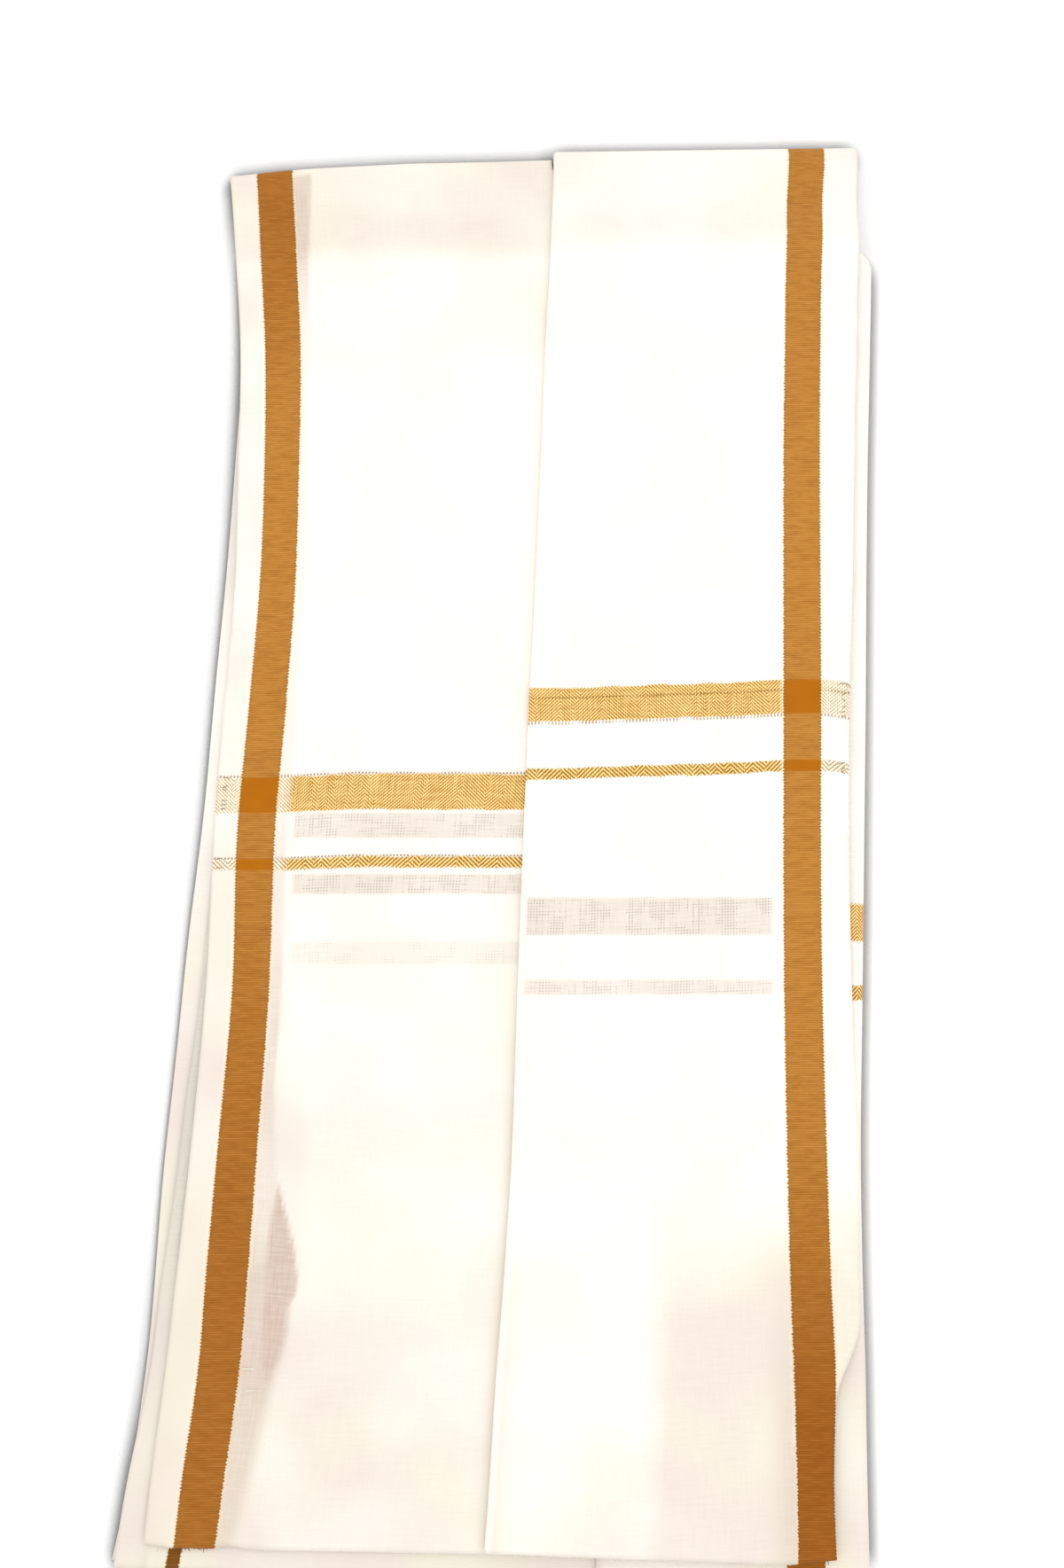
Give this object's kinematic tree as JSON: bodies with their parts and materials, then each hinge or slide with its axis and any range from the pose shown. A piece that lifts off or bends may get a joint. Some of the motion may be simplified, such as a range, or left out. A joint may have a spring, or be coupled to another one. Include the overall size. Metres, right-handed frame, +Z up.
{
  "type": "folded gamcha",
  "caption": "Thin cotton gamcha, cream white with mustard selvage stripes and gold weft bands, folded flat in a pile with a turned centre fold and raw cut ends",
  "frame": {"origin": "middle of the folded cloth's box, on the surface that it lies on", "axes": "+Z up from the surface, +X across the folded cloth to the viewer's right, +Y along it to the outer top fold"},
  "size_m": [0.2172, 0.4194, 0.0126],
  "materials": {
    "front_cotton": "thin plain-weave handloom cotton, cream white with mustard warp stripes and gold weft bands",
    "under_cotton": "the same cotton in the layers under the front, with the same stripes and bands",
    "core_cotton": "the same cotton, hidden layers folded one in another"
  },
  "bodies": {
    "root": {"right_front": "front_cotton", "left_front": "front_cotton", "right_under": "under_cotton", "next_front": "under_cotton", "left_under": "under_cotton", "folded_core": "core_cotton"}
  },
  "joints": []
}
